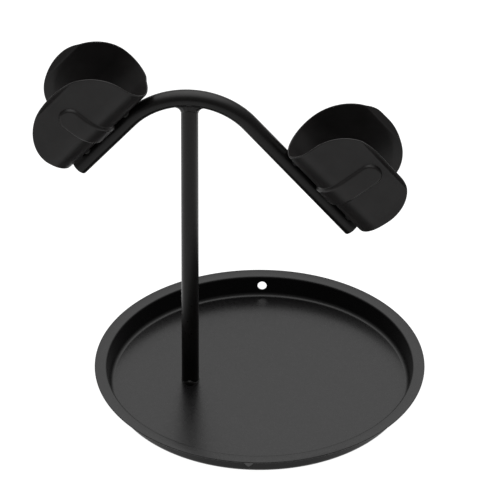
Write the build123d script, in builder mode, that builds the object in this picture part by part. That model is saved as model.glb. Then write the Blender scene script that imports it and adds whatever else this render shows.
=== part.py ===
"""Mug tree: a bent tube on a post, with a sheet-metal cradle on each arm and a round drip tray below.

Origin: centre of the tray's underside. +Z is up, the arms lie in the XZ plane, the long arm towards +X.
Lengths are millimetres, angles degrees.
"""

import math
import os
from typing import NamedTuple

from build123d import *

# ---- driving dimensions --------------------------------------------------------------------------
sheet_t = 1.2            # tray sheet
tray_lip_r = 152.5       # outer edge of the flat lip: a 305 mm (12 inch) tray
tray_wall_top_r = 141.2  # where the wall's inner face would meet the lip
tray_floor_r = 138.0     # where the wall's inner face would meet the floor
tray_height = 20.3       # underside to the top of the lip
floor_bend_r = 4.0       # inside radius of the bend from floor to wall
lip_bend_r = 2.0         # radius of the bend from wall to lip
wall_hole_r = 4.25
wall_hole_z = 10.8
wall_hole_azimuths = (92.8, 269.6)  # one hole at the back, one at the front

tube_r = 8.0             # post and arms: 16 mm (5/8 inch) round tube
tube_wall = 1.2
post_x = -64.2           # the post stands off centre, towards the short arm
arm_angle = 50.0         # slope of both arms below horizontal
bend_r = 71.6            # centreline radius of the bend over the post
crest_z = 317.2          # height of the bend's centreline over the post
left_straight = 72.0     # straight length of the short arm
right_straight = 146.0   # straight length of the long arm


class Ear(NamedTuple):
    """One upright ear: positions along the arm from the tube's end, heights above the tube's axis."""
    low: float           # lower end
    high: float          # upper end
    crown_low: float     # the round top is highest from here ...
    crown_high: float    # ... to here
    shoulder: float      # height where the straight ends turn into the round top
    top: float


class Cradle(NamedTuple):
    """One cradle: its two ears, and the ends of the trough's bottom, which is a little shorter."""
    front: Ear
    back: Ear
    waist_low: float
    waist_high: float
    rib_middle: float    # pressed rib up the middle of the front ear
    rib_top: float


cradle_t = 1.5           # cradle sheet
trough_r = 31.0          # middle surface of the trough's round bottom
waist_height = 12.5
waist_corner_r = 2.0
same_height = 0.01       # points closer in height than this lie on one level
left_shape = Cradle(
    front=Ear(3.0, 111.0, 54.0, 57.0, 36.0, 82.0), back=Ear(12.5, 111.5, 63.0, 67.0, 41.0, 81.0),
    waist_low=13.0, waist_high=106.0, rib_middle=53.0, rib_top=63.0)
right_shape = Cradle(
    front=Ear(1.5, 105.0, 31.0, 66.0, 48.0, 89.0), back=Ear(4.0, 102.5, 60.0, 63.0, 41.0, 88.5),
    waist_low=6.0, waist_high=100.0, rib_middle=50.5, rib_top=76.0)

rib_width = 21.0
rib_depth = 2.6
rib_gap = 9.5            # the rib stops this far from the tube's centre plane

foot_weld_leg = 1.9
foot_weld_bulge = 1.6    # radius of the foot weld's face over its leg
post_weld_skin = 0.6     # how far the weld stands proud of the post at its toe
post_weld_middle = 2.0   # ... and halfway up, along the bar
post_weld_reach = 13.5   # half length of the weld along the bar
post_weld_drop = 7.7     # from the bar's underside down to the weld's toe
bead_r = 2.0             # tack welds between cradle and arm
bead_length = 7.0
bead_offset = 5.2        # from the centre plane to a bead's centre
bead_height = 7.3
left_bead_starts = (18.0, 73.0)
right_bead_starts = (10.0, 86.0)
clearance = 10.0         # how far a cutting shape runs past what it cuts

# ---- derived dimensions --------------------------------------------------------------------------
bend_centre_z = crest_z - bend_r
# The two straight arms, run on upwards, would meet at this peak above the post.
peak = Vector(post_x, 0, bend_centre_z + bend_r / math.cos(math.radians(arm_angle)))
tangent_run = bend_r * math.tan(math.radians(arm_angle))
trough_centre = tube_r + cradle_t / 2 + trough_r   # height of the trough's centre above the tube's axis


def up_arm(side):
    """Unit vector up the arm towards the post. side is +1 for the long arm, -1 for the short one."""
    angle = math.radians(arm_angle)
    return Vector(-side * math.cos(angle), 0, math.sin(angle))


def arm_end(side):
    """Centre of the tube's cut end."""
    straight = right_straight if side > 0 else left_straight
    return peak - up_arm(side) * (tangent_run + straight)


def section_plane(side, along):
    """Plane across the arm, 'along' mm up from the tube's end: x across, y away from the tube."""
    return Plane(origin=arm_end(side) + up_arm(side) * along, x_dir=(0, -side, 0), z_dir=up_arm(side))


def side_plane(side):
    """Plane through the arm's axis: x up the arm from the tube's end, y away from the tube."""
    return Plane(origin=arm_end(side), x_dir=up_arm(side), z_dir=(0, side, 0))


# ---- tray ----------------------------------------------------------------------------------------
with BuildPart() as tray:
    with BuildSketch(Plane.XZ):
        with BuildLine():
            FilletPolyline(
                (0, sheet_t), (tray_floor_r, sheet_t), (tray_wall_top_r, tray_height),
                (tray_lip_r, tray_height), radius=[floor_bend_r, lip_bend_r],
            )
            offset(amount=sheet_t, side=Side.RIGHT)
        make_face()
    revolve(axis=Axis.Z)
    for azimuth in wall_hole_azimuths:
        hole_plane = Plane(origin=(0, 0, wall_hole_z), z_dir=Vector(1, 0, 0).rotate(Axis.Z, azimuth))
        with BuildSketch(hole_plane.offset(tray_floor_r - clearance)):
            Circle(wall_hole_r)
        extrude(amount=tray_lip_r - tray_floor_r + clearance, mode=Mode.SUBTRACT)


# ---- bent bar and post ---------------------------------------------------------------------------
def bar_path():
    with BuildLine() as path:
        FilletPolyline(arm_end(-1), peak, arm_end(1), radius=bend_r)
    return path.line


def bent_rod(radius, bore=0.0):
    """The bar's path swept with a round section, solid or hollow."""
    path = bar_path()
    with BuildPart() as rod:
        with BuildSketch(Plane(origin=path @ 0, z_dir=path % 0)):
            Circle(radius)
            if bore:
                Circle(bore, mode=Mode.SUBTRACT)
        sweep(path=path)
    return rod


arm_bar = bent_rod(tube_r, tube_r - tube_wall)
bar_envelope = bent_rod(tube_r)

with BuildPart() as post_envelope:
    with BuildSketch(Plane.XY.offset(sheet_t)):
        with Locations((post_x, 0)):
            Circle(tube_r)
    extrude(amount=crest_z - sheet_t)

with BuildPart() as post:
    with BuildSketch(Plane.XY.offset(sheet_t)):
        with Locations((post_x, 0)):
            Circle(tube_r)
            Circle(tube_r - tube_wall, mode=Mode.SUBTRACT)
    extrude(amount=crest_z - sheet_t)
    add(bar_envelope.part, mode=Mode.SUBTRACT)   # coped to sit under the bar

# ---- welds on the post ---------------------------------------------------------------------------
with BuildPart() as post_foot_weld:
    with BuildSketch(Plane(origin=(post_x, 0, sheet_t), x_dir=(1, 0, 0), z_dir=(0, -1, 0))):
        with BuildLine():
            toe = (tube_r + foot_weld_leg, 0)
            top = (tube_r, foot_weld_leg)
            Line((tube_r, 0), toe)
            RadiusArc(toe, top, -foot_weld_bulge * foot_weld_leg)
            Line(top, (tube_r, 0))
        make_face()
    revolve(axis=Axis((post_x, 0, 0), (0, 0, 1)))

with BuildPart() as post_top_weld:
    weld_top = crest_z - tube_r / 2
    weld_toe = crest_z - tube_r - post_weld_drop
    toe_r = tube_r + post_weld_skin
    sections = (
        (weld_toe, toe_r, toe_r),
        (weld_toe + post_weld_drop / 2, tube_r + post_weld_middle, toe_r),
        (weld_top, post_weld_reach, tube_r),
    )
    for height, half_length, half_width in sections:
        with BuildSketch(Plane.XY.offset(height)):
            with Locations((post_x, 0)):
                Ellipse(half_length, half_width)
    loft()
    add(bar_envelope.part, mode=Mode.SUBTRACT)
    add(post_envelope.part, mode=Mode.SUBTRACT)


# ---- cradles -------------------------------------------------------------------------------------
def trough_outline(radius, top, mode=Mode.ADD):
    """Face of a U: round bottom, straight sides run on past the ears' tops."""
    height = top - trough_centre + clearance
    with Locations((0, trough_centre)):
        Circle(radius, mode=mode)
        Rectangle(2 * radius, height, align=(Align.CENTER, Align.MIN), mode=mode)


def trough_shell(side, shape, outer, inner):
    """U-shaped channel along the arm, between two radii."""
    low = min(shape.front.low, shape.back.low)
    high = max(shape.front.high, shape.back.high)
    top = max(shape.front.top, shape.back.top)
    with BuildPart() as shell:
        with BuildSketch(section_plane(side, low)):
            trough_outline(outer, top)
            trough_outline(inner, top, Mode.SUBTRACT)
        extrude(amount=high - low)
    return shell


def tongue(side, shape, inset=0.0):
    """Block with a rounded tip that bounds the rib pressed out of the front ear."""
    half_width = rib_width / 2 - inset
    tip_centre = shape.rib_top - rib_width / 2
    gap = rib_gap + inset
    reach = trough_r + cradle_t + rib_depth + clearance
    with BuildPart() as block:
        with BuildSketch(side_plane(side).offset(-side * gap)):
            with Locations((shape.rib_middle, tip_centre)):
                Circle(half_width)
            with Locations((shape.rib_middle, tip_centre / 2)):
                Rectangle(2 * half_width, tip_centre)
        extrude(amount=-side * (reach - gap))
    return block


def ear_block(side, shape, ear, towards):
    """Solid whose side view is one ear on its half of the waist; towards is -1 in front, +1 at the back."""
    with BuildPart() as block:
        with BuildSketch(side_plane(side)) as outline:
            with BuildLine():
                Polyline(
                    (ear.crown_high, ear.top), (ear.crown_low, ear.top), (ear.crown_low, ear.shoulder),
                    (ear.low, ear.shoulder), (ear.low, waist_height), (shape.waist_low, waist_height),
                    (shape.waist_low, 0), (shape.waist_high, 0), (shape.waist_high, waist_height),
                    (ear.high, waist_height), (ear.high, ear.shoulder), (ear.crown_high, ear.shoulder),
                    close=True)
            make_face()
            for crown, end in ((ear.crown_low, ear.low), (ear.crown_high, ear.high)):
                with BuildSketch(mode=Mode.PRIVATE) as quarter:
                    with Locations((crown, ear.shoulder)):
                        Ellipse(abs(crown - end), ear.top - ear.shoulder)
                    beyond = Align.MIN if end > crown else Align.MAX
                    with Locations((crown, ear.shoulder)):
                        Rectangle(abs(crown - end) + clearance, ear.top,
                                  align=(beyond, Align.MIN), mode=Mode.INTERSECT)
                add(quarter.sketch)
            corners = outline.vertices().filter_by(
                lambda v: abs(side_plane(side).to_local_coords(Vector(*v)).Y - waist_height) < same_height)
            fillet(corners, waist_corner_r)
        extrude(amount=towards * side * (trough_r + clearance))
    return block


def make_cradle(side, shape):
    outer = trough_r + cradle_t / 2
    inner = trough_r - cradle_t / 2
    with BuildPart() as rib_skin:
        add(trough_shell(side, shape, outer + rib_depth, inner).part)
        add(tongue(side, shape).part, mode=Mode.INTERSECT)
    with BuildPart() as rib_hollow:
        add(trough_shell(side, shape, inner + rib_depth, inner - cradle_t).part)
        add(tongue(side, shape, cradle_t).part, mode=Mode.INTERSECT)
    with BuildPart() as ears:
        add(ear_block(side, shape, shape.front, -1).part)
        add(ear_block(side, shape, shape.back, 1).part)
    with BuildPart() as cradle:
        add(trough_shell(side, shape, outer, inner).part)
        add(ears.part, mode=Mode.INTERSECT)
        add(rib_skin.part)
        add(rib_hollow.part, mode=Mode.SUBTRACT)
    return cradle


left_cradle = make_cradle(-1, left_shape)
right_cradle = make_cradle(1, right_shape)


def tack_welds(side, starts, cradle):
    """Short beads in the two grooves between the trough and the arm."""
    with BuildPart() as beads:
        for start in starts:
            with BuildSketch(section_plane(side, start)):
                with Locations((-bead_offset, bead_height), (bead_offset, bead_height)):
                    Circle(bead_r)
            extrude(amount=bead_length)
        add(bar_envelope.part, mode=Mode.SUBTRACT)
        add(cradle.part, mode=Mode.SUBTRACT)
    return beads


left_cradle_welds = tack_welds(-1, left_bead_starts, left_cradle)
right_cradle_welds = tack_welds(1, right_bead_starts, right_cradle)

# ---- write the pieces ----------------------------------------------------------------------------
pieces = {
    "tray": tray,
    "post": post,
    "arm_bar": arm_bar,
    "left_cradle": left_cradle,
    "right_cradle": right_cradle,
    "post_foot_weld": post_foot_weld,
    "post_top_weld": post_top_weld,
    "left_cradle_welds": left_cradle_welds,
    "right_cradle_welds": right_cradle_welds,
}

os.makedirs("parts", exist_ok=True)
for name, piece in pieces.items():
    piece.part.label = name
    export_step(piece.part, f"parts/{name}.step")
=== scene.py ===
"""Mug tree: the finished look of a welded, powder-coated stand, built round its fixed CAD frame.

Every length is in metres in the CAD model's own frame: the origin is the centre of the tray's underside,
+Z is up and the arms lie in the XZ plane, the long arm towards +X.
"""

import math

import bmesh
import bpy
import numpy as np
from mathutils import Matrix, Vector, noise


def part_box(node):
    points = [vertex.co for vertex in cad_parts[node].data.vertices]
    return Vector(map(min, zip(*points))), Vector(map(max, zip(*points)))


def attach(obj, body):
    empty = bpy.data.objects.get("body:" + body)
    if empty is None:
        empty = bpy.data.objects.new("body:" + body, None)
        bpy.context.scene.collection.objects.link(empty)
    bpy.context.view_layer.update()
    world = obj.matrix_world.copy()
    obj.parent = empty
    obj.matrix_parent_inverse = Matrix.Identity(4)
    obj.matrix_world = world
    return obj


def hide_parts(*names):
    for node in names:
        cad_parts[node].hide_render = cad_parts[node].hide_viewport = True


bl_info = {
    "name": "Mug Tree",
    "version": (1, 0, 0),
    "blender": (4, 5, 0),
    "location": "View3D > Sidebar > Mug Tree",
    "description": "Builds a welded mug tree with sheet-metal cradles and a round drip tray",
    "category": "Add Mesh",
}

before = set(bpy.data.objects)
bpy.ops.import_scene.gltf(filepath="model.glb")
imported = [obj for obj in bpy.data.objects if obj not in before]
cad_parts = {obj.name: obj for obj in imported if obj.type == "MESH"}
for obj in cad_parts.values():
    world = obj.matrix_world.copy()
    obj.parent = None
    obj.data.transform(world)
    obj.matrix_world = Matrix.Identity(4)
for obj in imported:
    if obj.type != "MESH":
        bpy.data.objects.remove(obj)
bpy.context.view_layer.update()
POST_LOW, POST_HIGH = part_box("post")
POST_X = (POST_LOW.x + POST_HIGH.x) / 2
TRAY_LOW, TRAY_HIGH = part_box("tray")

MM = 0.001
BODY = "root"
LONG_ARM, SHORT_ARM = 1, -1
EAR_SIZES = ("Low end, high end, start and end of the crown along the arm, "
             "then shoulder and top above the tube's axis")
CREASE = 0.10  # softness of the folds in an ear, as a share of the folded strip's width
TACK_STARTS = {SHORT_ARM: (18 * MM, 73 * MM), LONG_ARM: (10 * MM, 86 * MM)}  # along the arm from its end
TACK_ACROSS, TACK_AWAY = 5.2 * MM, 7.3 * MM  # from the tube's axis to the middle of a tack weld
# Share of the full overhead light by the cosine of the angle from its middle.
SKY_LEVELS = ((0.0, 0.06), (0.30, 0.08), (0.54, 0.14), (0.66, 0.27), (0.76, 0.52), (0.90, 0.85), (1.0, 1.0))


# ---- settings a user would change ------------------------------------------------------------------
def length(name, description, millimetres):
    return bpy.props.FloatProperty(
        name=name, description=description, default=millimetres * MM, unit="LENGTH", precision=4)


def lengths(name, description, millimetres):
    return bpy.props.FloatVectorProperty(
        name=name, description=description, default=[m * MM for m in millimetres], size=len(millimetres),
        unit="LENGTH", precision=4)


def angle(name, description, degrees):
    return bpy.props.FloatProperty(
        name=name, description=description, default=math.radians(degrees), unit="ROTATION")


def factor(name, description, default):
    return bpy.props.FloatProperty(
        name=name, description=description, default=default, min=0.0, max=1.0, subtype="FACTOR")


def colour(name, description, rgb):
    return bpy.props.FloatVectorProperty(
        name=name, description=description, default=rgb, size=3, min=0.0, max=1.0, subtype="COLOR")


class TrayShape(bpy.types.PropertyGroup):
    """Sizes of the pressed tray."""
    sheet: length("Sheet", "Thickness of the tray's sheet", 1.2)
    floor_radius: length("Floor radius", "Where the wall would meet the floor", 138.0)
    wall_top_radius: length("Wall top radius", "Where the wall would meet the lip", 141.2)
    floor_bend: length("Floor bend", "Inside radius of the bend from floor to wall", 4.0)
    lip_bend: length("Lip bend", "Radius of the bend from wall to lip", 2.0)
    hole_radius: length("Hole radius", "Radius of the two wall holes", 4.25)
    hole_height: length("Hole height", "Height of the wall holes above the surface it stands on", 10.8)
    back_hole: angle("Back hole", "Azimuth of the hole in the back wall", 92.8)
    front_hole: angle("Front hole", "Azimuth of the hole in the front wall", 269.6)


class TubeShape(bpy.types.PropertyGroup):
    """Sizes of the post and the bent bar."""
    radius: bpy.props.FloatProperty(
        name="Radius", description="Outer radius of the round tube", unit="LENGTH", precision=4,
        default=(POST_HIGH.x - POST_LOW.x) / 2)
    wall: length("Wall", "Wall thickness of the tube", 1.2)
    arm_slope: angle("Arm slope", "Slope of both arms below horizontal", 50.0)
    bend_radius: length("Bend radius", "Centreline radius of the bend over the post", 71.6)
    short_arm: length("Short arm", "Straight length of the short arm", 72.0)
    long_arm: length("Long arm", "Straight length of the long arm", 146.0)
    edge: length("Cut edge", "Radius of the deburred edge at the tube's cut ends", 0.35)


class CradleShape(bpy.types.PropertyGroup):
    """Sizes of the two pressed cradles."""
    sheet: length("Sheet", "Thickness of the cradle's sheet", 1.5)
    trough_radius: length("Trough radius", "Middle surface of the trough's round bottom", 31.0)
    short_arm_front: lengths("Short arm, front ear", EAR_SIZES, (1.6, 111.0, 59.0, 60.0, 36.0, 81.2))
    short_arm_back: lengths("Short arm, back ear", EAR_SIZES, (13.2, 109.8, 65.0, 66.0, 41.0, 81.0))
    short_arm_waist: lengths("Short arm, waist", "Ends of the trough's bottom", (12.0, 108.0))
    short_arm_rib: lengths("Short arm, rib", "Middle and tip of the front ear's rib", (53.0, 62.5))
    long_arm_front: lengths("Long arm, front ear", EAR_SIZES, (0.4, 104.4, 34.0, 64.0, 46.0, 88.3))
    long_arm_back: lengths("Long arm, back ear", EAR_SIZES, (3.4, 102.0, 57.0, 66.0, 41.0, 88.4))
    long_arm_waist: lengths("Long arm, waist", "Ends of the trough's bottom", (6.0, 102.0))
    long_arm_rib: lengths("Long arm, rib", "Middle and tip of the front ear's rib", (50.5, 77.0))
    rib_width: length("Rib width", "Width of the pressed rib", 21.0)
    rib_depth: length("Rib depth", "How far the rib stands out of the ear", 2.7)
    flare: length("Flare", "How far the ear's rim is turned outward at its lower corner", 1.2)
    flare_width: length("Flare width", "Width of the turned rim", 7.5)
    lip: length("Lip", "How far the top of each ear is folded outward", 3.1)
    lip_height: length("Lip height", "From the fold to the top of the ear", 4.8)
    lean: length("Lean", "How far each ear leans inward below its fold", 2.2)


class WeldShape(bpy.types.PropertyGroup):
    """Sizes of the weld beads."""
    foot_leg: length("Foot leg", "Leg of the bead round the post's foot", 0.4)
    lump_height: length("Lump height", "Height of the lump at the front of the foot weld", 4.2)
    lump_spread: angle("Lump spread", "How far round the post the lump reaches each way", 29.0)
    front_drop: length("Front drop", "From the bar's underside to the top weld's toe in front", 1.4)
    top_reach: length("Top reach", "Half length of the top weld along the bar", 15.0)
    top_drop: length("Top drop", "From the bar's underside to the top weld's toe at the sides", 6.4)
    top_skin: length("Top skin", "How far the top weld stands proud of the post", 0.5)
    bead_radius: length("Bead radius", "Radius of a tack weld", 2.0)
    bead_length: length("Bead length", "Length of a tack weld", 7.0)
    ripple: length("Ripple", "Height of the ripples in the beads", 0.18)


class CoatFinish(bpy.types.PropertyGroup):
    """Colours and gloss of the black powder coat."""
    tray_colour: colour("Tray colour", "Powder coat on the tray", (0.0016, 0.0015, 0.0016))
    tube_colour: colour("Tube colour", "Powder coat on the post and the bar", (0.0022, 0.0020, 0.0019))
    cradle_colour: colour("Cradle colour", "Powder coat on the cradles", (0.0086, 0.0080, 0.0079))
    tray_gloss: factor("Tray roughness", "Roughness of the tray's coat", 0.29)
    tube_gloss: factor("Tube roughness", "Roughness of the tube's coat", 0.30)
    cradle_gloss: factor("Cradle roughness", "Roughness of the cradles' coat", 0.31)


class StudioSetup(bpy.types.PropertyGroup):
    """Floor, lights and camera."""
    floor_colour: colour("Floor colour", "Pale studio floor", (0.10, 0.10, 0.10))
    floor_glow: bpy.props.FloatProperty(
        name="Floor glow", description="Light that comes through the floor from below", default=1.0, min=0.0)
    floor_radius: length("Floor radius", "Radius of the studio floor", 3000.0)
    sky: bpy.props.FloatProperty(
        name="Sky", description="Strength of the soft light overhead", default=4.5, min=0.0)
    sky_tilt: angle("Sky tilt", "How far the overhead light leans to the back", 15.0)
    azimuth: angle("Camera azimuth", "Camera's turn round the stand from straight in front", 3.8)
    elevation: angle("Camera elevation", "Camera's height above the horizon", 35.3)
    distance: bpy.props.FloatProperty(
        name="Distance", description="From the camera to the stand", default=12.0, unit="LENGTH")
    view_width: length("View width", "Width of the picture at the stand", 452.16)
    aim_right: length("Aim right", "Centre of view to the right of the tray's centre", -12.6)
    aim_up: length("Aim up", "Centre of view above the tray's centre, square to the view", 126.6)
    aim_near: length("Aim near", "Centre of view nearer than the tray's centre", 80.0)


# ---- mesh helpers ----------------------------------------------------------------------------------
def add_object(name, verts, faces, material):
    """A smooth-shaded mesh object from lists of corners and faces."""
    mesh = bpy.data.meshes.new(name)
    mesh.from_pydata([tuple(v) for v in verts], [], faces)
    mesh.validate()
    mesh.polygons.foreach_set("use_smooth", [True] * len(mesh.polygons))
    mesh.materials.append(material)
    piece = bpy.data.objects.new(name, mesh)
    bpy.context.scene.collection.objects.link(piece)
    return piece


def ring_faces(rings, segments, close=True):
    """Quads between neighbouring rings of corners; close joins the last ring to the first."""
    faces = []
    for i in range(rings if close else rings - 1):
        here, there = i * segments, (i + 1) % rings * segments
        for j in range(segments):
            k = (j + 1) % segments
            faces.append((here + j, here + k, there + k, there + j))
    return faces


def face_outward(piece):
    """Makes a closed mesh's faces all point outward."""
    cage = bmesh.new()
    cage.from_mesh(piece.data)
    bmesh.ops.remove_doubles(cage, verts=cage.verts, dist=1e-7)
    bmesh.ops.recalc_face_normals(cage, faces=cage.faces)
    cage.to_mesh(piece.data)
    cage.free()


def stand_for(piece, node):
    """The piece rides on the frame and hides its CAD node."""
    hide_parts(node)
    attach(piece, BODY)
    return piece


def smooth_step(low, high, value):
    t = np.clip((value - low) / (high - low), 0.0, 1.0)
    return t * t * (3 - 2 * t)


def soft_ramp(value):
    """The value where it is above zero and nothing below, with a soft crease between."""
    return (value + np.sqrt(value ** 2 + CREASE ** 2)) / 2


def rounded_corner(before, corner, after, radius, steps):
    """Points of an arc that rounds a corner in a plane."""
    before, corner, after = (np.array(p, float) for p in (before, corner, after))
    back = (before - corner) / np.linalg.norm(before - corner)
    ahead = (after - corner) / np.linalg.norm(after - corner)
    half = math.acos(float(np.clip(back @ ahead, -1, 1))) / 2
    middle = back + ahead
    centre = corner + middle / np.linalg.norm(middle) * radius / math.sin(half)
    start = corner + back * radius / math.tan(half) - centre
    sweep = math.pi - 2 * half
    turn = math.copysign(1.0, float(back[0] * ahead[1] - back[1] * ahead[0]))
    points = []
    for i in range(steps + 1):
        a = -turn * sweep * i / steps
        c, s = math.cos(a), math.sin(a)
        points.append(centre + np.array((c * start[0] - s * start[1], s * start[0] + c * start[1])))
    return points


# ---- materials -------------------------------------------------------------------------------------
MOTTLE_SIZE, GRAIN_SIZE = 18 * MM, 2.4 * MM
PEEL_DEPTH = 0.12 * MM
COAT_SPECULAR = 0.17


def noise_node(tree, scale, detail, roughness, coordinates):
    node = tree.nodes.new("ShaderNodeTexNoise")
    node.inputs["Scale"].default_value = scale
    node.inputs["Detail"].default_value = detail
    node.inputs["Roughness"].default_value = roughness
    tree.links.new(coordinates, node.inputs["Vector"])
    return node.outputs["Fac"]


def spread(tree, value, low, high):
    """Maps the busy middle of a noise value to a range."""
    node = tree.nodes.new("ShaderNodeMapRange")
    node.inputs["From Min"].default_value = 0.3
    node.inputs["From Max"].default_value = 0.7
    node.inputs["To Min"].default_value = low
    node.inputs["To Max"].default_value = high
    tree.links.new(value, node.inputs["Value"])
    return node.outputs["Result"]


def powder_coat(name, base, roughness, peel=0.10, peel_size=1.3 * MM):
    """Satin black powder coat: orange peel, a faint mottle in colour and gloss."""
    material = bpy.data.materials.new(name)
    material.use_nodes = True
    tree = material.node_tree
    shader = tree.nodes["Principled BSDF"]
    place = tree.nodes.new("ShaderNodeTexCoord").outputs["Object"]

    mottle = noise_node(tree, 1 / MOTTLE_SIZE, 3.0, 0.55, place)
    tone = tree.nodes.new("ShaderNodeValToRGB")
    for stop, position, share in zip(tone.color_ramp.elements, (0.30, 0.72), (0.80, 1.25)):
        stop.position = position
        stop.color = (*[c * share for c in base], 1.0)
    tree.links.new(mottle, tone.inputs["Fac"])
    tree.links.new(tone.outputs["Color"], shader.inputs["Base Color"])

    grain = noise_node(tree, 1 / GRAIN_SIZE, 4.0, 0.6, place)
    tree.links.new(spread(tree, grain, roughness - 0.03, roughness + 0.04), shader.inputs["Roughness"])

    peel_bump = tree.nodes.new("ShaderNodeBump")
    peel_bump.inputs["Strength"].default_value = peel
    peel_bump.inputs["Distance"].default_value = PEEL_DEPTH
    tree.links.new(noise_node(tree, 1 / peel_size, 2.0, 0.5, place), peel_bump.inputs["Height"])
    tree.links.new(peel_bump.outputs["Normal"], shader.inputs["Normal"])

    shader.inputs["IOR"].default_value = 1.5
    shader.inputs["Specular IOR Level"].default_value = COAT_SPECULAR
    return material


# ---- tray ------------------------------------------------------------------------------------------
def tray_section(shape, lip_radius, height):
    """Closed section of the tray in (radius, height): out along its upper face and back underneath."""
    t = shape.sheet
    hub = 2 * MM                                  # the two faces are closed by fans inside this radius
    flat = 8 * MM, shape.floor_radius - 12 * MM   # evenly spaced rings cover the floor between these
    bend_steps, edge_steps = 10, 8
    edge_radius = lip_radius - t / 2
    upper = [(0.0, t), (shape.floor_radius, t), (shape.wall_top_radius, height), (edge_radius, height)]
    slope = Vector((shape.wall_top_radius - shape.floor_radius, height - t)).normalized()
    # The lower side of the sheet runs parallel to the upper side, one thickness away.
    outward = Vector((slope.y, -slope.x)) * t
    foot_shift = outward.x - (outward.y + t) * slope.x / slope.y
    lower = [(0.0, 0.0), (shape.floor_radius + foot_shift, 0.0),
             (shape.wall_top_radius + foot_shift, height - t), (edge_radius, height - t)]
    lip_start = shape.wall_top_radius + 5 * MM

    section = [np.array((hub, t))]
    section += [np.array((r, t)) for r in np.linspace(*flat, 26)]
    section += rounded_corner(*upper[:3], shape.floor_bend, bend_steps)
    section += rounded_corner(*upper[1:], shape.lip_bend, bend_steps)
    section.append(np.array((lip_start, height)))
    for i in range(edge_steps + 1):
        a = math.pi / 2 - math.pi * i / edge_steps
        section.append(np.array((edge_radius + t / 2 * math.cos(a), height - t / 2 + t / 2 * math.sin(a))))
    section.append(np.array((lip_start, height - t)))
    section += rounded_corner(*lower[:0:-1], max(shape.lip_bend - t, 0.5 * MM), bend_steps)
    section += rounded_corner(*lower[2::-1], shape.floor_bend + t, bend_steps)
    section += [np.array((r, 0.0)) for r in np.linspace(*reversed(flat), 12)]
    section.append(np.array((hub, 0.0)))
    return section


def lathe(name, section, columns, material):
    """Turns a section that starts and ends near the axis into a closed round mesh."""
    verts = []
    for r, z in section:
        for j in range(columns):
            a = 2 * math.pi * j / columns
            verts.append((r * math.cos(a), r * math.sin(a), z))
    faces = ring_faces(len(section), columns, close=False)
    for ring, z in ((0, section[0][1]), (len(section) - 1, section[-1][1])):
        centre = len(verts)
        verts.append((0.0, 0.0, z))
        start = ring * columns
        faces += [(centre, start + j, start + (j + 1) % columns) for j in range(columns)]
    piece = add_object(name, verts, faces, material)
    face_outward(piece)
    return piece


def punch_hole(piece, centre, direction, radius, depth):
    """Cuts a round hole and leaves the tool out of the scene."""
    bpy.ops.mesh.primitive_cylinder_add(vertices=48, radius=radius, depth=depth, location=centre)
    tool = bpy.context.object
    tool.rotation_mode = "QUATERNION"
    tool.rotation_quaternion = Vector(direction).to_track_quat("Z", "Y")
    bpy.context.view_layer.update()
    cut = piece.modifiers.new("hole", "BOOLEAN")
    cut.operation = "DIFFERENCE"
    cut.solver = "EXACT"
    cut.object = tool
    bpy.context.view_layer.objects.active = piece
    bpy.ops.object.modifier_apply(modifier=cut.name)
    bpy.data.objects.remove(tool, do_unlink=True)


def smooth_by_angle(piece, degrees):
    """Keeps edges sharper than the angle crisp."""
    mesh = piece.data
    mesh.polygons.foreach_set("use_smooth", [True] * len(mesh.polygons))
    mesh.set_sharp_from_angle(angle=math.radians(degrees))


class MUGTREE_OT_tray(bpy.types.Operator):
    """Build the pressed tray with its flat lip and two wall holes"""
    bl_idname = "mugtree.tray"
    bl_label = "Tray"

    def execute(self, context):
        shape, coat = context.scene.mugtree_tray, context.scene.mugtree_coat
        material = powder_coat("tray_powder_coat", coat.tray_colour, coat.tray_gloss, peel=0.08)
        section = tray_section(shape, TRAY_HIGH.x, TRAY_HIGH.z)
        tray = lathe("drip_tray", section, columns=288, material=material)
        wall_radius = (shape.floor_radius + shape.wall_top_radius) / 2
        for azimuth in (shape.back_hole, shape.front_hole):
            out = Vector((math.cos(azimuth), math.sin(azimuth), 0.0))
            centre = out * wall_radius + Vector((0.0, 0.0, shape.hole_height))
            punch_hole(tray, centre, out, shape.hole_radius, depth=12 * MM)
        smooth_by_angle(tray, degrees=32)
        stand_for(tray, "tray")
        return {"FINISHED"}


# ---- tubes -----------------------------------------------------------------------------------------
class ArmFrame:
    """Directions and places along one arm: up the arm from the tube's end, and square away from the tube."""

    def __init__(self, side, tube):
        slope = tube.arm_slope
        straight = tube.long_arm if side == LONG_ARM else tube.short_arm
        crest = Vector((POST_X, 0.0, POST_HIGH.z))
        self.up = Vector((-side * math.cos(slope), 0.0, math.sin(slope)))
        self.out = Vector((side * math.sin(slope), 0.0, math.cos(slope)))
        self.bend_centre = crest - Vector((0.0, 0.0, tube.bend_radius))
        self.end = self.bend_centre + self.out * tube.bend_radius - self.up * straight

    def point(self, along, across, away):
        """World place of a point along the arm, across it to the back, and away from the tube's axis."""
        return self.end + self.up * along + Vector((0.0, across, 0.0)) + self.out * away


def bar_centreline(tube, steps_per_arm=24, steps_in_bend=64):
    """Points and tangents from the short arm's end over the bend to the long arm's end."""
    short, long = ArmFrame(SHORT_ARM, tube), ArmFrame(LONG_ARM, tube)
    stations = []
    for i in range(steps_per_arm):
        stations.append((short.end + short.up * tube.short_arm * i / steps_per_arm, short.up))
    for i in range(steps_in_bend + 1):
        a = tube.arm_slope * (2 * i / steps_in_bend - 1)
        radial = Vector((math.sin(a), 0.0, math.cos(a)))
        stations.append((short.bend_centre + radial * tube.bend_radius, Vector((radial.z, 0.0, -radial.x))))
    for i in range(1, steps_per_arm + 1):
        back = tube.long_arm * (1 - i / steps_per_arm)
        stations.append((long.end + long.up * back, -long.up))
    return stations


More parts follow.
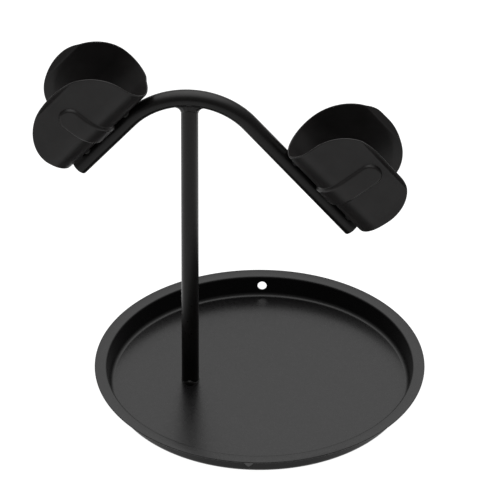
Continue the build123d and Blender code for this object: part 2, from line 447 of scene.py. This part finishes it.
def tube_rims(outer, inner, edge):
    """(inset from the cut end, radius) round a deburred rim, from the outside to the bore."""
    steps = 4
    outside, bore = [], []
    for i in range(steps + 1):
        a = math.pi / 2 * i / steps
        inset, cut = edge * (1 - math.sin(a)), edge * (1 - math.cos(a))
        outside.append((inset, outer - cut))
        bore.append((inset, inner + cut))
    return outside + bore[::-1]


def swept_tube(name, stations, tube, material, segments=64):
    """A hollow round tube along stations of (point, tangent) in the XZ plane."""
    outer, inner = tube.radius, tube.radius - tube.wall
    rim = tube_rims(outer, inner, tube.edge)
    first, last = stations[0], stations[-1]
    rings = [(p, d, outer) for p, d in stations[1:-1]]
    rings += [(last[0] - last[1] * inset, last[1], r) for inset, r in rim]
    rings += [(p, d, inner) for p, d in reversed(stations[1:-1])]
    rings += [(first[0] + first[1] * inset, first[1], r) for inset, r in reversed(rim)]
    verts = []
    across = Vector((0.0, 1.0, 0.0))
    for centre, direction, radius in rings:
        normal = direction.cross(across)
        for j in range(segments):
            a = 2 * math.pi * j / segments
            verts.append(centre + (across * math.cos(a) + normal * math.sin(a)) * radius)
    piece = add_object(name, verts, ring_faces(len(rings), segments), material)
    face_outward(piece)
    return piece


def bar_underside(tube, x, y):
    """Height of the bent bar's lower surface at an offset (x, y) from the post's axis."""
    reach = tube.bend_radius - math.sqrt(max(tube.radius ** 2 - y ** 2, 0.0))
    return ArmFrame(LONG_ARM, tube).bend_centre.z + math.sqrt(max(reach ** 2 - x ** 2, 0.0))


class MUGTREE_OT_arm_bar(bpy.types.Operator):
    """Build the bent bar with its two open, deburred ends"""
    bl_idname = "mugtree.arm_bar"
    bl_label = "Arm bar"

    def execute(self, context):
        tube, coat = context.scene.mugtree_tube, context.scene.mugtree_coat
        material = powder_coat("bar_powder_coat", coat.tube_colour, coat.tube_gloss)
        bar = swept_tube("bent_arm_bar", bar_centreline(tube), tube, material)
        stand_for(bar, "arm_bar")
        return {"FINISHED"}


class MUGTREE_OT_post(bpy.types.Operator):
    """Build the post, coped at the top to fit the bar"""
    bl_idname = "mugtree.post"
    bl_label = "Post"

    def execute(self, context):
        tube, coat = context.scene.mugtree_tube, context.scene.mugtree_coat
        material = powder_coat("post_powder_coat", coat.tube_colour, coat.tube_gloss)
        segments, heights = 64, 40
        foot, inner = POST_LOW.z, tube.radius - tube.wall
        verts = []
        for radius, order in ((tube.radius, range(heights + 1)), (inner, range(heights, -1, -1))):
            for i in order:
                for j in range(segments):
                    a = 2 * math.pi * j / segments
                    x, y = radius * math.cos(a), radius * math.sin(a)
                    top = bar_underside(tube, x, y)
                    verts.append((POST_X + x, y, foot + (top - foot) * i / heights))
        post = add_object("post_tube", verts, ring_faces(2 * heights + 2, segments), material)
        face_outward(post)
        smooth_by_angle(post, degrees=40)
        stand_for(post, "post")
        return {"FINISHED"}


# ---- cradles ---------------------------------------------------------------------------------------
def crowded(count, middle, width):
    """Numbers from 0 to 1, closer together round the middle and towards both ends."""
    t = np.linspace(0.0, 1.0, 2001)
    near_middle = np.exp(-((t - middle) / width) ** 2)
    near_ends = np.exp(-np.minimum(t, 1 - t) / 0.03)
    density = 1 + 1.6 * near_middle + 1.5 * near_ends
    total = np.concatenate(((0.0,), np.cumsum((density[1:] + density[:-1]) / 2)))
    return np.interp(np.linspace(0.0, total[-1], count), total, t)


class Ear:
    """Outline of one ear: where it starts and ends along the arm at a height above the tube's axis."""

    def __init__(self, sizes, edge):
        self.low, self.high, self.crown_low, self.crown_high, self.shoulder, self.top = sizes
        self.low, self.high, self.top = self.low + edge, self.high - edge, self.top - edge

    def ends(self, away):
        rise = np.clip((away - self.shoulder) / (self.top - self.shoulder), 0.0, 1.0)
        share = np.sqrt(1 - rise ** 2)
        return (self.crown_low - (self.crown_low - self.low) * share,
                self.crown_high + (self.high - self.crown_high) * share)

    def inset(self, along, away):
        """Rough distance from a place on the ear to its rim."""
        rise = np.maximum(away - self.shoulder, 0.0) / (self.top - self.shoulder)
        low = np.maximum(self.crown_low - along, 0.0) / (self.crown_low - self.low)
        high = np.maximum(along - self.crown_high, 0.0) / (self.high - self.crown_high)
        return (1 - np.hypot(np.maximum(low, high), rise)) * (self.top - self.shoulder)


class CradleSurface:
    """Middle surface of a cradle, by distance round its section and a share of its length."""
    WAIST_LEAVES = 11 * MM, 18 * MM    # round the section: the waist's ends turn into the ears' ends here
    RIB_RISES = 8.5 * MM, 13 * MM      # round the section: the rib comes up from the trough here
    RIB_WALL = -0.4 * MM, 1.9 * MM     # inward from the rib's outline: its side wall
    RIM_RISES = -8 * MM, 14 * MM       # above the trough's centre: the turned rim begins here
    LOWER_CORNER = 0.25, 0.75          # share of the length: the rim's turn fades out up the arm here
    PLAIN_FLARE = 0.15                 # share of the flare that is left away from the lower corner

    def __init__(self, cradle, tube, front, back, waist, rib):
        self.c = cradle
        self.centre = tube.radius + cradle.sheet / 2 + cradle.trough_radius
        edge = cradle.sheet / 2           # the rounded rim adds this much again
        self.front, self.back = Ear(front, edge), Ear(back, edge)
        self.waist = (waist[0] + edge, waist[1] - edge)
        self.rib_middle, self.rib_top = rib
        self.quarter = math.pi / 2 * cradle.trough_radius

    def reach(self, ear):
        """Distance round the section from the trough's bottom line to the top of an ear."""
        return self.quarter + ear.top - self.centre

    def section(self, s):
        """(across, away, normal across, normal away) at a distance s from the trough's bottom line."""
        rho = self.c.trough_radius
        bend = np.clip(np.abs(s) / rho, 0.0, math.pi / 2)
        sign = np.sign(s)
        over = np.maximum(np.abs(s) - self.quarter, 0.0)
        across = sign * rho * np.sin(bend)
        away = self.centre - rho * np.cos(bend) + over
        return across, away, sign * np.sin(bend), -np.cos(bend)

    def ends(self, s):
        """Where the sheet starts and ends along the arm at s: the front ear's s is negative."""
        away = self.section(s)[1]
        leave = smooth_step(*self.WAIST_LEAVES, np.abs(s))
        bounds = []
        for end in (0, 1):
            ear = np.where(s < 0, self.front.ends(away)[end], self.back.ends(away)[end])
            bounds.append(self.waist[end] + (ear - self.waist[end]) * leave)
        return bounds

    def rib(self, along, s):
        """Height of the rib pressed out of the front ear."""
        away = self.section(s)[1]
        half = self.c.rib_width / 2
        tip = self.rib_top - half
        inside = half - np.hypot(along - self.rib_middle, np.maximum(away - tip, 0.0))
        return self.c.rib_depth * smooth_step(*self.RIB_WALL, inside) * smooth_step(*self.RIB_RISES, -s)

    def turned_rim(self, along, s):
        """How far the rim turns outward: most at the lower, outer corner of each ear."""
        away = self.section(s)[1]
        inset = np.where(s < 0, self.front.inset(along, away), self.back.inset(along, away))
        near = soft_ramp(1 - inset / self.c.flare_width)
        up_arm = (along - self.waist[0]) / (self.waist[1] - self.waist[0])
        corner = 1 - smooth_step(*self.LOWER_CORNER, up_arm)
        turn = self.PLAIN_FLARE + (1 - self.PLAIN_FLARE) * corner
        return self.c.flare * near * turn * smooth_step(*self.RIM_RISES, away - self.centre)

    def folded_lip(self, s):
        """How far the sheet stands outside a straight wall: it leans in, then its lip is folded out."""
        away = self.section(s)[1]
        fold = np.where(s < 0, self.front.top, self.back.top) - self.c.lip_height
        inward = np.clip((away - self.centre) / (fold - self.centre), 0.0, 1.0)
        over = soft_ramp((away - fold) / self.c.lip_height)
        return self.c.lip * over * (np.abs(s) > self.quarter) - self.c.lean * inward

    def grid(self, rows, columns):
        """(along, across, away) and normals, in rows round the section and columns along the arm."""
        # The front ear carries the rib, so it has more of the rows.
        front_rows = np.sin(np.linspace(-1, 0, int(rows * 0.65), endpoint=False) * math.pi / 2)
        back_rows = np.sin(np.linspace(0, 1, rows - len(front_rows)) * math.pi / 2)
        s = np.concatenate((front_rows * self.reach(self.front), back_rows * self.reach(self.back)))
        v = crowded(columns, (self.rib_middle - self.front.low) / (self.front.high - self.front.low), 0.13)
        s, v = np.meshgrid(s, v, indexing="ij")
        low, high = self.ends(s)
        along = low + (high - low) * v
        across, away, n_across, n_away = self.section(s)
        lift = self.rib(along, s) + self.turned_rim(along, s) + self.folded_lip(s)
        points = np.stack((along, across + n_across * lift, away + n_away * lift), axis=-1)
        d_row, d_column = np.gradient(points, axis=0), np.gradient(points, axis=1)
        normals = np.cross(d_row, d_column)
        normals /= np.maximum(np.linalg.norm(normals, axis=-1, keepdims=True), 1e-12)
        outward = np.stack((0 * along, n_across, n_away), axis=-1)
        normals *= np.sign((normals * outward).sum(-1, keepdims=True))
        return points, normals


def boundary_loop(rows, columns):
    """(row, column) pairs once round a grid."""
    loop = [(0, j) for j in range(columns)]
    loop += [(i, columns - 1) for i in range(1, rows)]
    loop += [(rows - 1, j) for j in range(columns - 2, -1, -1)]
    loop += [(i, 0) for i in range(rows - 2, 0, -1)]
    return loop


def sheet_with_round_rim(points, normals, thickness, rim_steps=6):
    """Closed sheet round a middle surface, with a half-round rim all the way round."""
    rows, columns = points.shape[:2]
    half = thickness / 2
    count = rows * columns
    outer, inner = points + normals * half, points - normals * half
    verts = np.concatenate((outer.reshape(-1, 3), inner.reshape(-1, 3)))
    faces = []
    for i in range(rows - 1):
        for j in range(columns - 1):
            a = i * columns + j
            quad = (a, a + 1, a + columns + 1, a + columns)
            faces.append(quad)
            faces.append(tuple(count + k for k in reversed(quad)))
    loop = boundary_loop(rows, columns)
    edge = np.array([points[i, j] for i, j in loop])
    normal = np.array([normals[i, j] for i, j in loop])
    tangent = np.roll(edge, -1, axis=0) - np.roll(edge, 1, axis=0)
    tangent /= np.maximum(np.linalg.norm(tangent, axis=1, keepdims=True), 1e-12)
    outward = np.cross(tangent, normal)
    inside = points[rows // 2, columns // 2]
    if ((edge - inside) * outward).sum(1).mean() < 0:
        outward = -outward
    rings = [[i * columns + j for i, j in loop]]
    extra = []
    for k in range(1, rim_steps):
        a = math.pi * k / rim_steps
        start = len(verts) + len(extra)
        extra.extend(edge + outward * half * math.sin(a) + normal * half * math.cos(a))
        rings.append(list(range(start, start + len(loop))))
    rings.append([count + i * columns + j for i, j in loop])
    for here, there in zip(rings, rings[1:]):
        for j in range(len(loop)):
            k = (j + 1) % len(loop)
            faces.append((here[j], here[k], there[k], there[j]))
    return np.concatenate((verts, np.array(extra))), faces


def build_cradle(name, side, surface, tube, material):
    points, normals = surface.grid(rows=240, columns=117)
    verts, faces = sheet_with_round_rim(points, normals, surface.c.sheet)
    arm = ArmFrame(side, tube)
    placed = [arm.point(along, across, away) for along, across, away in verts]
    piece = add_object(name, placed, faces, material)
    face_outward(piece)
    return piece


class MUGTREE_OT_cradles(bpy.types.Operator):
    """Build the two pressed cradles with their ribs and folded lips"""
    bl_idname = "mugtree.cradles"
    bl_label = "Cradles"

    def execute(self, context):
        scene = context.scene
        c, tube, coat = scene.mugtree_cradle, scene.mugtree_tube, scene.mugtree_coat
        material = powder_coat("cradle_powder_coat", coat.cradle_colour, coat.cradle_gloss)
        short = CradleSurface(
            c, tube, c.short_arm_front, c.short_arm_back, c.short_arm_waist, c.short_arm_rib)
        left = build_cradle("short_arm_cradle", SHORT_ARM, short, tube, material)
        stand_for(left, "left_cradle")
        long = CradleSurface(c, tube, c.long_arm_front, c.long_arm_back, c.long_arm_waist, c.long_arm_rib)
        right = build_cradle("long_arm_cradle", LONG_ARM, long, tube, material)
        stand_for(right, "right_cradle")
        return {"FINISHED"}


# ---- welds -----------------------------------------------------------------------------------------
def wobble(a, seed, scale=1.0):
    """Smooth, repeatable unevenness between about -1 and 1, periodic in the angle a."""
    return noise.noise(Vector((math.cos(a) * scale + seed, math.sin(a) * scale, seed * 1.7))) * 2


def foot_bead(weld, tube, centre, material):
    """Thin, uneven fillet round the post's foot, with a lump at the front where the weld was stopped."""
    columns, steps, ripples = 240, 12, 26
    front = -math.pi / 2
    buried_radius, buried_depth = tube.radius - 0.3 * MM, -0.2 * MM
    verts = []
    for i in range(columns):
        a = 2 * math.pi * i / columns
        lump = math.exp(-((math.remainder(a - front, 2 * math.pi) / weld.lump_spread) ** 2))
        leg = weld.foot_leg * (1 + 0.30 * wobble(a, 3.1, 1.6) + 0.15 * wobble(a, 8.2, 5.0))
        crest = weld.ripple * (0.5 + 0.5 * abs(math.sin(ripples * a / 2 + 0.6 * wobble(a, 5.5, 2.0))))
        reach, rise = leg + 0.5 * weld.lump_height * lump, leg + weld.lump_height * lump
        bulge = 1.25 - 0.80 * lump      # hollow where the fillet is plain, full at the lump
        ring = [(buried_radius, buried_depth)]
        for k in range(steps + 1):
            t = k / steps
            swell = (0.10 * leg + crest) * math.sin(math.pi * t) * 0.7
            ring.append((tube.radius + reach * (1 - t) ** bulge + swell, rise * t ** bulge + swell))
        ring.append((buried_radius, rise))
        for r, z in ring:
            verts.append((centre.x + r * math.cos(a), centre.y + r * math.sin(a), centre.z + z))
    piece = add_object("foot_weld_bead", verts, ring_faces(columns, steps + 3), material)
    face_outward(piece)
    return piece


def saddle_weld(weld, tube, centre, material):
    """Concave weld from the post to the bar's underside, longer down the sides than front and back."""
    columns, steps, ripples = 200, 14, 34
    underside = POST_HIGH.z - tube.radius
    r = tube.radius
    hollow_out, hollow_down = 1.3 * MM, 1.4 * MM    # how far the middle of the weld fills its corner
    buried_radius = r - 0.5 * MM
    verts = []
    for i in range(columns):
        a = 2 * math.pi * i / columns
        c, s = math.cos(a), math.sin(a)
        out = Vector((c, s, 0.0))
        toe = underside - weld.front_drop - (weld.top_drop - weld.front_drop) * c * c
        toe += 0.30 * MM * wobble(a, 2.2, 3.0)
        low = out * (r + weld.top_skin) + Vector((0.0, 0.0, toe))
        high = Vector((weld.top_reach * c, 0.93 * r * s, 0.0))
        high.z = bar_underside(tube, high.x, high.y)
        corner = out * (r + hollow_out)
        corner.z = bar_underside(tube, r * c, 0.999 * r * s) - hollow_down
        beat = weld.ripple * 0.8 * math.sin(ripples * a / 2 + 0.5 * wobble(a, 6.0, 2.0))
        ring = [out * buried_radius + Vector((0.0, 0.0, toe))]
        for k in range(steps + 1):
            t = k / steps
            p = low * (1 - t) ** 2 + corner * 2 * t * (1 - t) + high * t ** 2
            ring.append(p + out * (beat * math.sin(math.pi * t)))
        ring.append(Vector((0.86 * high.x, 0.8 * r * s, high.z + 1.6 * MM)))
        buried = out * buried_radius
        buried.z = bar_underside(tube, r * c, 0.8 * r * s) + 0.8 * MM
        ring.append(buried)
        verts += [(centre.x + p.x, centre.y + p.y, p.z) for p in ring]
    piece = add_object("saddle_weld", verts, ring_faces(columns, steps + 4), material)
    face_outward(piece)
    return piece


def tack_bead(arm, start, across, weld, seed):
    """Corners and faces of one short bead laid along the arm, rounded at both ends."""
    along_steps, segments = 44, 18
    blunt = 0.004                       # share of the length at which the ends are cut off
    verts = []
    for i in range(along_steps + 1):
        t = i / along_steps
        swell = math.sin(math.pi * min(max(t, blunt), 1 - blunt)) ** 0.42
        beat = 1 + 0.07 * math.sin(t * math.pi * 13 + 1.3 * noise.noise(Vector((t * 4, seed, 0))))
        beat += 0.10 * noise.noise(Vector((t * 3, seed, 5.0)))
        r = weld.bead_radius * swell * beat
        for j in range(segments):
            a = 2 * math.pi * j / segments
            x, z = across + r * math.cos(a), TACK_AWAY + r * math.sin(a)
            verts.append(arm.point(start + weld.bead_length * t, x, z))
    faces = ring_faces(along_steps + 1, segments, close=False)
    faces.append(tuple(range(segments)))
    faces.append(tuple(along_steps * segments + j for j in range(segments)))
    return verts, faces


def tack_welds(name, side, weld, tube, material):
    """Four tack beads of one cradle, as one piece."""
    arm = ArmFrame(side, tube)
    verts, faces = [], []
    for index, start in enumerate(TACK_STARTS[side]):
        for across in (-TACK_ACROSS, TACK_ACROSS):
            more, quads = tack_bead(arm, start, across, weld, seed=index + across * 400 + side)
            faces += [tuple(len(verts) + k for k in quad) for quad in quads]
            verts += more
    piece = add_object(name, verts, faces, material)
    face_outward(piece)
    return piece


class MUGTREE_OT_welds(bpy.types.Operator):
    """Build the weld beads at the post's foot and top and under the cradles"""
    bl_idname = "mugtree.welds"
    bl_label = "Welds"

    def execute(self, context):
        scene = context.scene
        weld, tube, coat = scene.mugtree_weld, scene.mugtree_tube, scene.mugtree_coat
        material = powder_coat(
            "weld_powder_coat", coat.tube_colour, coat.tube_gloss, peel=0.35, peel_size=0.9 * MM)
        foot = foot_bead(weld, tube, Vector((POST_X, 0.0, POST_LOW.z)), material)
        stand_for(foot, "post_foot_weld")
        top = saddle_weld(weld, tube, Vector((POST_X, 0.0, 0.0)), material)
        stand_for(top, "post_top_weld")
        left = tack_welds("short_arm_tacks", SHORT_ARM, weld, tube, material)
        stand_for(left, "left_cradle_welds")
        right = tack_welds("long_arm_tacks", LONG_ARM, weld, tube, material)
        stand_for(right, "right_cradle_welds")
        return {"FINISHED"}


# ---- stage -----------------------------------------------------------------------------------------
def studio_floor(setup):
    """Pale disc just below the tray that glows enough to stay free of shadows."""
    bpy.ops.mesh.primitive_circle_add(
        vertices=96, radius=setup.floor_radius, fill_type="NGON", location=(0.0, 0.0, -0.2 * MM))
    floor = bpy.context.object
    floor.name = "studio_floor"
    material = bpy.data.materials.new("pale_floor")
    material.use_nodes = True
    shader = material.node_tree.nodes["Principled BSDF"]
    shader.inputs["Base Color"].default_value = (*setup.floor_colour, 1.0)
    shader.inputs["Roughness"].default_value = 0.9
    shader.inputs["Specular IOR Level"].default_value = 0.0
    shader.inputs["Emission Color"].default_value = (1.0, 1.0, 1.0, 1.0)
    shader.inputs["Emission Strength"].default_value = setup.floor_glow
    floor.data.materials.append(material)


def studio_sky(setup):
    """Light tent: a broad soft light overhead, tilted to the back, that fades towards the horizon."""
    world = bpy.data.worlds.new("soft_studio")
    bpy.context.scene.world = world
    world.use_nodes = True
    tree = world.node_tree
    background = tree.nodes["Background"]
    direction = tree.nodes.new("ShaderNodeTexCoord").outputs["Generated"]
    towards = tree.nodes.new("ShaderNodeVectorMath")
    towards.operation = "DOT_PRODUCT"
    tilt = setup.sky_tilt
    towards.inputs[1].default_value = (0.0, math.sin(tilt), math.cos(tilt))
    tree.links.new(direction, towards.inputs[0])
    fall = tree.nodes.new("ShaderNodeValToRGB")
    fall.color_ramp.interpolation = "B_SPLINE"
    stops = fall.color_ramp.elements   # a new ramp already has its first and last stop
    for place, _ in SKY_LEVELS[1:-1]:
        stops.new(place)
    for stop, (_, level) in zip(stops, SKY_LEVELS):
        stop.color = (level, level, level, 1.0)
    tree.links.new(towards.outputs["Value"], fall.inputs["Fac"])
    tree.links.new(fall.outputs["Color"], background.inputs["Color"])
    background.inputs["Strength"].default_value = setup.sky


def studio_camera(setup):
    """Long lens from far away, so that the view is almost square."""
    a, e = setup.azimuth, setup.elevation
    back = Vector((math.sin(a) * math.cos(e), -math.cos(a) * math.cos(e), math.sin(e)))
    right = Vector((math.cos(a), math.sin(a), 0.0))
    up = back.cross(right)
    aim = right * setup.aim_right + up * setup.aim_up + back * setup.aim_near
    camera = bpy.data.objects.new("studio_camera", bpy.data.cameras.new("studio_camera"))
    bpy.context.scene.collection.objects.link(camera)
    camera.data.sensor_width = 36.0
    camera.data.lens = camera.data.sensor_width * setup.distance / setup.view_width
    camera.data.clip_end = 100.0
    camera.location = aim + back * setup.distance
    camera.rotation_mode = "QUATERNION"
    camera.rotation_quaternion = Matrix((right, up, back)).transposed().to_quaternion()
    bpy.context.scene.camera = camera


class MUGTREE_OT_studio(bpy.types.Operator):
    """Set up the pale floor, the soft overhead light and the camera"""
    bl_idname = "mugtree.studio"
    bl_label = "Studio"

    def execute(self, context):
        setup = context.scene.mugtree_studio
        studio_floor(setup)
        studio_sky(setup)
        studio_camera(setup)
        context.scene.view_settings.view_transform = "Standard"
        context.scene.view_settings.look = "None"
        return {"FINISHED"}


# ---- panel and registration ------------------------------------------------------------------------
class MUGTREE_PT_sidebar(bpy.types.Panel):
    """Lists the steps that build the stand"""
    bl_label = "Mug Tree"
    bl_idname = "MUGTREE_PT_sidebar"
    bl_space_type = "VIEW_3D"
    bl_region_type = "UI"
    bl_category = "Mug Tree"

    def draw(self, context):
        for step in STEPS:
            self.layout.operator(step.bl_idname)
        for group in SETTINGS:
            settings = getattr(context.scene, group)
            box = self.layout.box()
            for key in type(settings).__annotations__:
                box.prop(settings, key)


STEPS = (MUGTREE_OT_tray, MUGTREE_OT_arm_bar, MUGTREE_OT_post, MUGTREE_OT_cradles, MUGTREE_OT_welds,
         MUGTREE_OT_studio)
SETTINGS = {
    "mugtree_tray": TrayShape,
    "mugtree_tube": TubeShape,
    "mugtree_cradle": CradleShape,
    "mugtree_weld": WeldShape,
    "mugtree_coat": CoatFinish,
    "mugtree_studio": StudioSetup,
}
CLASSES = (*SETTINGS.values(), *STEPS, MUGTREE_PT_sidebar)


def register():
    for cls in CLASSES:
        bpy.utils.register_class(cls)
    for name, group in SETTINGS.items():
        setattr(bpy.types.Scene, name, bpy.props.PointerProperty(type=group))


def unregister():
    for name in SETTINGS:
        delattr(bpy.types.Scene, name)
    for cls in reversed(CLASSES):
        bpy.utils.unregister_class(cls)


def main():
    register()
    bpy.ops.mugtree.tray()
    bpy.ops.mugtree.arm_bar()
    bpy.ops.mugtree.post()
    bpy.ops.mugtree.cradles()
    bpy.ops.mugtree.welds()
    bpy.ops.mugtree.studio()


if __name__ == "__main__":
    main()
